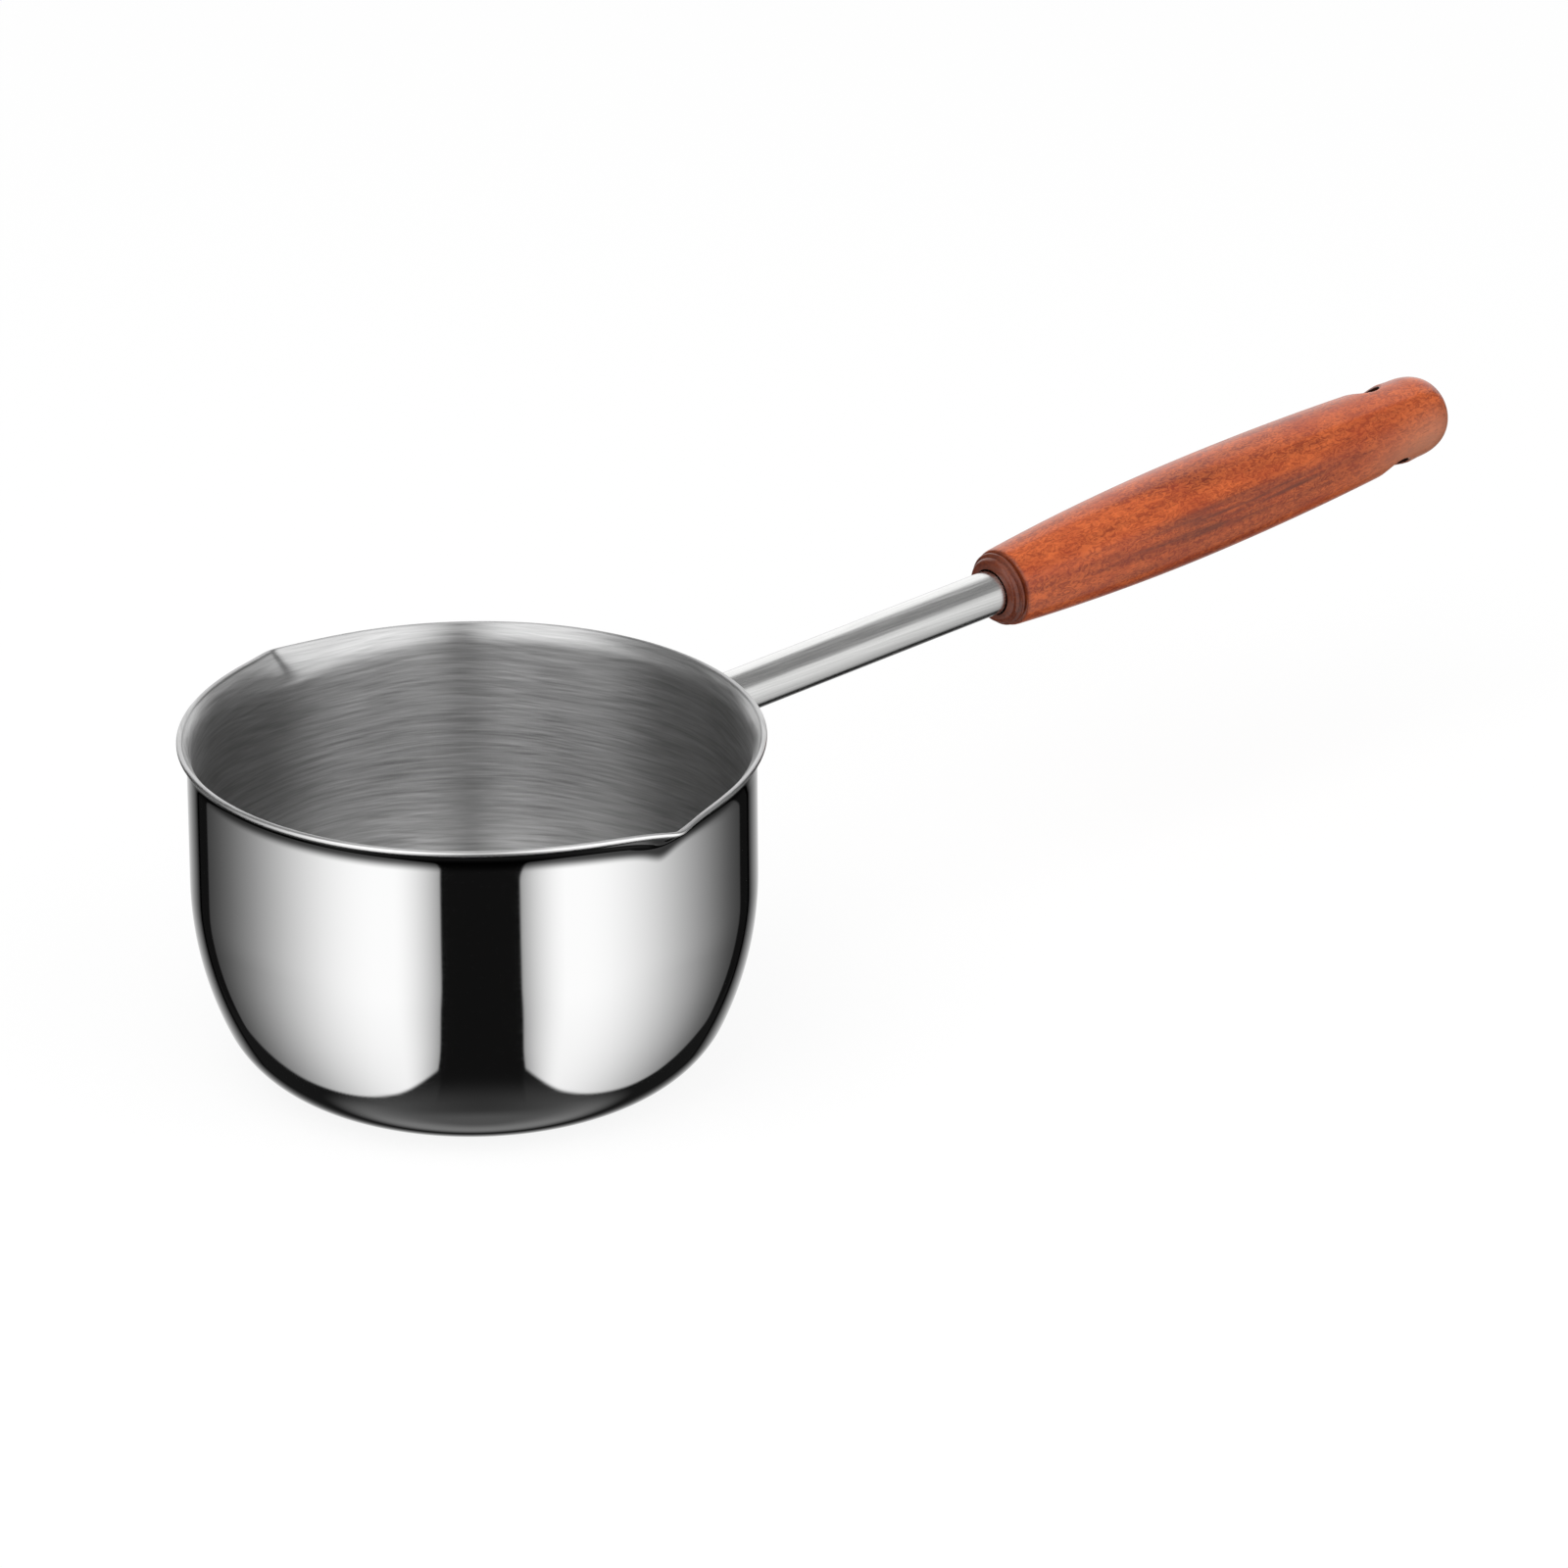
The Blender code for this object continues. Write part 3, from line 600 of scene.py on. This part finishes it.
blend = add(tree, "ShaderNodeMix", {"Factor": 0.5, 6: (body, 0), 7: (warm, 0)}, data_type="RGBA")
# Blotches about 10 mm long, where the stain went deeper and left a darker red
blotch_scale = add(tree, "ShaderNodeMapping", {"Vector": (grain_place, 0), "Scale": (90.0, 170.0, 170.0)})
blotch = add(tree, "ShaderNodeTexNoise", {"Vector": (blotch_scale, 0), "Scale": 1.0, "Detail": 3.0})
blotch_mask = add(tree, "ShaderNodeMapRange",
                  {"Value": (blotch, 0), "From Min": 0.46, "From Max": 0.68, "To Max": 0.42})
blotched = add(tree, "ShaderNodeMix", {"Factor": (blotch_mask, 0), 6: (blend, 2), 7: linear("#9A331D")},
               data_type="RGBA")
# Dark streaks of heartwood along the -Y side of the belly
heart_scale = add(tree, "ShaderNodeMapping",
                  {"Vector": (grain_place, 0), "Location": (0.064, -0.0112, 0.0016),
                   "Scale": (0.044, 0.0060, 0.0042)}, vector_type="TEXTURE")
heart_far = add(tree, "ShaderNodeVectorMath", {0: (heart_scale, 0)}, operation="LENGTH")
heart_soft = add(tree, "ShaderNodeMapRange",
                 {"Value": (heart_far, "Value"), "From Min": 0.35, "From Max": 1.25,
                  "To Min": 1.0, "To Max": 0.0}, interpolation_type="SMOOTHSTEP")
streak_scale = add(tree, "ShaderNodeMapping", {"Vector": (grain_place, 0), "Scale": (45.0, 900.0, 900.0)})
streak = add(tree, "ShaderNodeTexNoise", {"Vector": (streak_scale, 0), "Scale": 1.0, "Detail": 4.0})
streak_mask = add(tree, "ShaderNodeMapRange",
                  {"Value": (streak, 0), "From Min": 0.38, "From Max": 0.64, "To Max": 0.85})
heart = add(tree, "ShaderNodeMath", {0: (heart_soft, 0), 1: (streak_mask, 0)}, operation="MULTIPLY")
dark_heart = add(tree, "ShaderNodeMix", {"Factor": (heart, 0), 6: (blotched, 2), 7: linear("#6B3527")},
                 data_type="RGBA")
# Paler colour low on the rear end
pale_scale = add(tree, "ShaderNodeMapping",
                 {"Vector": (grain_place, 0), "Location": (0.135, -0.0085, -0.0040),
                  "Scale": (0.034, 0.0105, 0.0095)}, vector_type="TEXTURE")
pale_far = add(tree, "ShaderNodeVectorMath", {0: (pale_scale, 0)}, operation="LENGTH")
pale_soft = add(tree, "ShaderNodeMapRange",
                {"Value": (pale_far, "Value"), "From Min": 0.2, "From Max": 1.2,
                 "To Min": 0.75, "To Max": 0.0}, interpolation_type="SMOOTHSTEP")
pale_low_rear = add(tree, "ShaderNodeMix", {"Factor": (pale_soft, 0), 6: (dark_heart, 2), 7: linear("#D38C6C")},
              data_type="RGBA")
pore_share = add(tree, "ShaderNodeMath", {0: (pore_mask, 0), 1: PORE_SHADE}, operation="MULTIPLY")
pored = add(tree, "ShaderNodeMix", {"Factor": (pore_share, 0), 6: (pale_low_rear, 2), 7: linear("#5A2418")},
            data_type="RGBA")
# Stain gathers in the front's turned grooves. The hole's cut rim is darkened by soaked-in stain and painted
# shade.
FRONT_STAIN_FROM = front - 0.0002
FRONT_STAIN_TO = front + 0.0009
HOLE_STAIN_AND_SHADE_FROM = HOLE_R + 0.00005
HOLE_STAIN_AND_SHADE_TO = HOLE_R + 0.0005
xyz = add(tree, "ShaderNodeSeparateXYZ", {0: (grain_place, 0)})
front_dark = add(tree, "ShaderNodeMapRange",
                 {"Value": (xyz, "X"), "From Min": FRONT_STAIN_FROM, "From Max": FRONT_STAIN_TO,
                  "To Min": 0.78, "To Max": 0.0})
hole_axis = add(tree, "ShaderNodeMapping",
                {"Vector": (grain_place, 0), "Location": (HOLE_AT, 0.0, 0.0),
                 "Rotation": (-HOLE_LEAN, 0.0, 0.0)}, vector_type="TEXTURE")
hole_xyz = add(tree, "ShaderNodeSeparateXYZ", {0: (hole_axis, 0)})
hole_flat = add(tree, "ShaderNodeCombineXYZ", {"X": (hole_xyz, "X"), "Y": (hole_xyz, "Y")})
hole_far = add(tree, "ShaderNodeVectorMath", {0: (hole_flat, 0)}, operation="LENGTH")
# Round the hole's cut rim the colour darkens: part stain soaked in, part painted shade at the mouth.
hole_dark = add(tree, "ShaderNodeMapRange",
                {"Value": (hole_far, "Value"), "From Min": HOLE_STAIN_AND_SHADE_FROM, "From Max": HOLE_STAIN_AND_SHADE_TO,
                 "To Min": 0.8, "To Max": 0.0})
darker = add(tree, "ShaderNodeMath", {0: (front_dark, 0), 1: (hole_dark, 0)}, operation="MAXIMUM")
stain_and_shade = add(tree, "ShaderNodeMix", {"Factor": (darker, 0), 6: (pored, 2), 7: linear("#3E1A12")},
              data_type="RGBA")
grit = add(tree, "ShaderNodeMapRange", {"Value": (fleck, 0), "From Min": 0.3, "From Max": 0.7,
                                        "To Min": 0.42, "To Max": 0.55})
height = add(tree, "ShaderNodeMath", {0: (layer, 0), 1: (pore_mask, 0)}, operation="SUBTRACT")
relief = add(tree, "ShaderNodeBump", {"Height": (height, 0), "Strength": 0.12, "Distance": 0.0002})
tree.links.new(stain_and_shade.outputs[2], shader.inputs["Base Color"])
tree.links.new(grit.outputs[0], shader.inputs["Roughness"])
tree.links.new(relief.outputs[0], shader.inputs["Normal"])

# The drilled holes: unlacquered end grain, dull, its near-black partly its stain and partly painted shade.
drilled, tree, shader, coords = open_material("drilled_hardwood")
set_shader(shader, Roughness=0.85, Specular_IOR_Level=0.1)
fibre = add(tree, "ShaderNodeTexNoise", {"Vector": (coords, "Object"), "Scale": 2500.0, "Detail": 3.0})
tone = add(tree, "ShaderNodeMapRange", {"Value": (fibre, 0), "From Min": 0.3, "From Max": 0.7})
# The near-black is part stained end grain, part painted shade inside the hole.
shade = add(tree, "ShaderNodeMix", {"Factor": (tone, 0), 6: linear("#1C0D09"), 7: linear("#38190F")},
            data_type="RGBA")
tree.links.new(shade.outputs[2], shader.inputs["Base Color"])

grip, grip_runs = section_object("turned_grip", grip_line)
grow(grip, spin, {"Steps": GRIP_STEPS, "Outside finish": wood, "Inside finish": wood,
                  "Inside from": grip_runs[-1]})
settle(grip)
# The edges of the hole were eased with sandpaper, so the wood rounds over towards each mouth.
hole_way = Vector((math.cos(HOLE_LEAN), -math.sin(HOLE_LEAN), 0.0))
hole_middle = Vector((0.0, 0.0, HOLE_AT))
for vertex in grip.data.vertices:
    offset = vertex.co - hole_middle
    along_hole = offset.dot(hole_way)
    off_axis = (offset - along_hole * hole_way).length
    if off_axis < MOUTH_R and abs(along_hole) > GRIP_TAIL_R / 2:
        dip = MOUTH_DEPTH * min(1.0, (MOUTH_R - off_axis) / (MOUTH_R - HOLE_R)) ** 2
        vertex.co -= math.copysign(dip, along_hole) * hole_way
grip.data.transform(grip_place)


def drill(name, radius, start, end, matrix):
    """A closed cylinder of the drilled holes' finish, along the Z axis of a matrix."""
    bm = bmesh.new()
    bmesh.ops.create_cone(bm, cap_ends=True, segments=DRILL_STEPS, radius1=radius, radius2=radius,
                          depth=end - start, matrix=matrix @ Matrix.Translation((0, 0, (start + end) / 2)))
    mesh = bpy.data.meshes.new(name)
    bm.to_mesh(mesh)
    bm.free()
    mesh.materials.append(drilled)
    item = bpy.data.objects.new(name, mesh)
    bpy.context.scene.collection.objects.link(item)
    return item


hole_matrix = (grip_place @ Matrix.Translation((0, 0, HOLE_AT)) @ Matrix.Rotation(-HOLE_LEAN, 4, "Z")
               @ Matrix.Rotation(math.radians(90), 4, "Y"))
drills = [drill("bore_drill", TUBE_R + GAP, TUBE_SHOWN - BORE_OVERRUN, tube_end + GAP, tube_place),
          drill("pilot_drill", PILOT_R + GAP, tube_end - PILOT_OVERLAP, tube_end + PILOT_LENGTH, tube_place),
          drill("hook_drill", HOLE_R, -HOOK_DRILL_HALF, HOOK_DRILL_HALF, hole_matrix)]
for tool in drills:
    cutting = grip.modifiers.new(tool.name, "BOOLEAN")
    cutting.operation = "DIFFERENCE"
    cutting.solver = "EXACT"
    cutting.material_mode = "TRANSFER"
    cutting.object = tool
settle(grip)
for tool in drills:
    bpy.data.objects.remove(tool, do_unlink=True)
grip.data.shade_smooth()
grip.data.set_sharp_from_angle(angle=math.radians(38))
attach(grip, "root")
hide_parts("wood_grip")

# The studio: a lit white floor and white surround light the object, and its metal reflects a light tent. The
# tent is a ball that only reflections see. It has two tall softboxes in front with a dark gap between them,
# narrow black flags at the sides, a bright cloth behind, a grey roof and a dark table edge below.
CAMERA_AZIMUTH = -41.805
CAMERA_ELEVATION = 23.378
CAMERA_DISTANCE = 2.5
CAMERA_ROLL = math.radians(-0.396)
CAMERA_LENS = 270.265
CAMERA_AIM_HEIGHT = 0.040
CAMERA_RIGHT = 0.065869
CAMERA_UP = 0.021371
TENT_R = 1.6
TENT_AROUND = 720
TENT_UP = 300
TENT_MIDDLE_HEIGHT = 0.04
GAP_MIDDLE = CAMERA_AZIMUTH + 3.8
# Angles of the tent's parts, in degrees round from the gap's middle and up or down from the horizon
GAP_HALF_SINE = 0.25
GAP_BOTTOM = 62
SOFTBOX_TOP = 62
SOFTBOX_BOTTOM = 62.3
SOFTBOX_MIDDLE = 60
SOFTBOX_END = 136
BACK_FROM = 146
# Brightness of the tent's parts
DEEP_BLACK = 0.008
TABLE_EDGE = 0.012
TABLE = 0.115
ROOF = 0.29
ROOF_FRONT = 1.36
BEHIND = 0.8
BEHIND_TOP = 1.25


def ease(value, start, end):
    """0 before start, 1 after end, smooth between."""
    share = min(1.0, max(0.0, (value - start) / (end - start)))
    return share * share * (3 - 2 * share)


def tent_glow(turned, height):
    """Brightness of the tent at an angle right of the gap and a height above the horizon, in degrees."""
    beside = abs(turned)
    # The right flag hangs a little further round than the left one.
    if turned > 0:
        beside += 4 * ease(beside, 100, 130)
    # The table's edge is lighter towards the back.
    table = TABLE_EDGE + (0.035 + 0.2 * (min(beside, 150) / 150) ** 1.8) * ease(-height, 55, 68)
    table += (TABLE - table) * ease(-height, 70, 84)
    # The roof is brightest over the front, and a little less so overhead.
    roof = 1 - ease(beside, 46, 86) * (1 - ease(height, 60, 72))
    roof = ROOF + ROOF_FRONT * roof * (1 - 0.4 * ease(height, 66, 80))
    # A bright cloth stands behind. It reaches further forward near its top.
    upright = BEHIND_TOP * ease(beside, 118, 132)
    edge = 28 - 30 * ease(beside, 134, BACK_FROM)
    if beside > BACK_FROM:
        cloth = BEHIND * min(1.0, max(0.0, (beside - 148) / 27))
        cloth += (upright - cloth) * ease(height, edge - 6, edge + 6)
        cloth += (roof - cloth) * ease(height, 43, 49)
        return cloth + (table - cloth) * ease(-height, 26, 56)
    # The gap's sides stand upright, so they spread towards the floor. Above the horizon it narrows to a slit.
    low = max(0.0, -height - 28)
    level = max(math.cos(math.radians(height)), 0.3)
    gap_half = math.degrees(math.asin((GAP_HALF_SINE - 0.018 * ease(low, 0, 22)) / level))
    gap_half *= 1 - 0.8 * ease(height, -10, 12)
    rise = 1 - max(0.0, 1 - (beside - gap_half) / 19) ** 1.6 if beside > gap_half else 0.0
    softbox = (0.5 + rise) * (1 - 0.003 * low) * math.exp(-(max(0.0, beside - 40) / (54.3 + 0.6 * low)) ** 2)
    softbox *= ease(beside, gap_half - 0.5, gap_half + 0.5)
    softbox *= 1 - ease(beside, SOFTBOX_END, SOFTBOX_END + 1.5)
    # The softboxes are brighter in their upper half, and darker where they end at the sides.
    softbox *= 1 + ease(height, -8, 40) * (0.4 - 0.25 * ease(beside, 60, 74))
    softbox *= 1 - 0.7 * ease(height, -14, 0) * ease(beside, 94, 110)
    softbox += DEEP_BLACK
    softbox += max(0.0, upright - softbox) * ease(height, edge - 6, edge + 6)
    top = SOFTBOX_TOP - 47 * ease(beside, 45, 90) + 25 * ease(beside, 97, 112) + 6 * ease(beside, 112, 122)
    fade = 12 - 9 * ease(beside, 112, 122)
    softbox += (roof - softbox) * ease(height, top - fade, top + fade)
    # The lower edges of the softboxes are bowed: lowest in the middle, and higher towards both sides.
    off_middle = beside - SOFTBOX_MIDDLE
    bottom = SOFTBOX_BOTTOM - ((-off_middle / 12.6) ** 2 if off_middle < 0 else (off_middle / 18.9) ** 2.3)
    # Under the gap there is no panel, so its black fades into the table.
    sharp = ease(beside, gap_half - 4, gap_half - 0.5)
    bottom += (GAP_BOTTOM - bottom) * (1 - sharp)
    under = ease(-height, bottom - 0.7 - 10 * (1 - sharp), bottom + 0.7 + 8 * (1 - sharp))
    return softbox + (table - softbox) * under


points, glows = [], []
for up_step in range(TENT_UP + 1):
    height = -90 + 180 * up_step / TENT_UP
    for step in range(TENT_AROUND):
        azimuth = math.radians(GAP_MIDDLE + 360 * step / TENT_AROUND)
        turned = 360 * (step if step <= TENT_AROUND / 2 else step - TENT_AROUND) / TENT_AROUND
        level = TENT_R * math.cos(math.radians(height))
        points.append((level * math.sin(azimuth), -level * math.cos(azimuth),
                       TENT_MIDDLE_HEIGHT + TENT_R * math.sin(math.radians(height))))
        glows.append(tent_glow(turned, height))
faces = []
for up_step in range(TENT_UP):
    under, over = up_step * TENT_AROUND, (up_step + 1) * TENT_AROUND
    for step in range(TENT_AROUND):
        after = (step + 1) % TENT_AROUND
        faces.append((under + step, under + after, over + after, over + step))
tent_mesh = bpy.data.meshes.new("light_tent")
tent_mesh.from_pydata(points, [], faces)
tent_mesh.attributes.new("glow", "FLOAT", "POINT").data.foreach_set("value", glows)
tent = bpy.data.objects.new("light_tent", tent_mesh)
bpy.context.scene.collection.objects.link(tent)
cloth_light = bpy.data.materials.new("lit_cloth")
cloth_light.use_nodes = True
cloth_light.cycles.emission_sampling = "NONE"
tree = cloth_light.node_tree
tree.nodes.clear()
glow = add(tree, "ShaderNodeAttribute", attribute_name="glow")
shine = add(tree, "ShaderNodeEmission", {"Strength": (glow, "Fac")})
add(tree, "ShaderNodeOutputMaterial", {"Surface": (shine, 0)})
tent_mesh.materials.append(cloth_light)
tent.visible_camera = False
tent.visible_diffuse = False
tent.visible_transmission = False
tent.visible_shadow = False

# White paper on the floor. It looks white, and lights the object as a less bright sheet would.
FLOOR_HALF = 9
FLOOR_BELOW = 0.0002
FLOOR_SEEN = 0.86
FLOOR_LIGHT = 0.45
floor_mesh = bpy.data.meshes.new("studio_floor")
floor_mesh.from_pydata([(-FLOOR_HALF, -FLOOR_HALF, 0), (FLOOR_HALF, -FLOOR_HALF, 0),
                        (FLOOR_HALF, FLOOR_HALF, 0), (-FLOOR_HALF, FLOOR_HALF, 0)], [], [(0, 1, 2, 3)])
floor = bpy.data.objects.new("studio_floor", floor_mesh)
floor.location.z = -FLOOR_BELOW
bpy.context.scene.collection.objects.link(floor)
paper, tree, shader, coords = open_material("white_paper")
set_shader(shader, Base_Color=linear("#6E6E6E"), Roughness=0.9, Specular_IOR_Level=0.0,
           Emission_Color=(1.0, 1.0, 1.0, 1.0))
seen = add(tree, "ShaderNodeLightPath")
lit = add(tree, "ShaderNodeMapRange",
          {"Value": (seen, "Is Camera Ray"), "To Min": FLOOR_LIGHT, "To Max": FLOOR_SEEN})
tree.links.new(lit.outputs[0], shader.inputs["Emission Strength"])
floor_mesh.materials.append(paper)
floor.visible_glossy = False

# An even white surround. The camera sees it as white, and it lights the object a little less brightly.
SURROUND_LIGHT = 0.62
world = bpy.data.worlds.new("white_surround")
world.use_nodes = True
surround = world.node_tree.nodes["Background"]
surround.inputs["Color"].default_value = (1.0, 1.0, 1.0, 1.0)
seen = add(world.node_tree, "ShaderNodeLightPath")
lit = add(world.node_tree, "ShaderNodeMapRange", {"Value": (seen, "Is Camera Ray"), "To Min": SURROUND_LIGHT})
world.node_tree.links.new(lit.outputs[0], surround.inputs["Strength"])
bpy.context.scene.world = world
# This comes after the line above, because setting it makes Blender look for the scene's world.
world.cycles_visibility.glossy = False
bpy.context.scene.view_settings.view_transform = "Standard"


def way_back(azimuth, elevation):
    """Unit vector from the object towards a camera or a light, for angles in degrees."""
    turn_by, tilt = math.radians(azimuth), math.radians(elevation)
    return Vector((math.sin(turn_by) * math.cos(tilt), -math.cos(turn_by) * math.cos(tilt), math.sin(tilt)))


# Two soft lamps light the wood and the floor, and no reflection sees them. Each has its azimuth and elevation
# in degrees, its size in metres and its power in watts.
LAMPS = {"key": (-70.0, 60.0, 1.6, 14.0), "fill": (10.0, 40.0, 1.8, 7.0)}
LAMP_DISTANCE = 2.0
for name, (azimuth, elevation, size, power) in LAMPS.items():
    light_data = bpy.data.lights.new(name, "AREA")
    light_data.shape = "DISK"
    light_data.size = size
    light_data.energy = power
    light = bpy.data.objects.new(name, light_data)
    way = way_back(azimuth, elevation)
    light.location = LAMP_DISTANCE * way
    light.rotation_euler = way.to_track_quat("Z", "Y").to_euler()
    light.visible_camera = False
    light.visible_glossy = False
    bpy.context.scene.collection.objects.link(light)

# The photo's camera, fitted to the rim, the sides of the wall, the base and the handle
back = way_back(CAMERA_AZIMUTH, CAMERA_ELEVATION)
right = Vector((math.cos(math.radians(CAMERA_AZIMUTH)), math.sin(math.radians(CAMERA_AZIMUTH)), 0.0))
above = back.cross(right)
target = Vector((0.0, 0.0, CAMERA_AIM_HEIGHT)) + CAMERA_RIGHT * right + CAMERA_UP * above
level_right = math.cos(CAMERA_ROLL) * right + math.sin(CAMERA_ROLL) * above
level_up = math.cos(CAMERA_ROLL) * above - math.sin(CAMERA_ROLL) * right
camera_data = bpy.data.cameras.new("studio_camera")
camera_data.lens = CAMERA_LENS
camera_data.sensor_width = 36.0
camera = bpy.data.objects.new("studio_camera", camera_data)
camera.matrix_world = (Matrix.Translation(target + CAMERA_DISTANCE * back)
                       @ Matrix((level_right, level_up, back)).transposed().to_4x4())
bpy.context.scene.collection.objects.link(camera)
bpy.context.scene.camera = camera
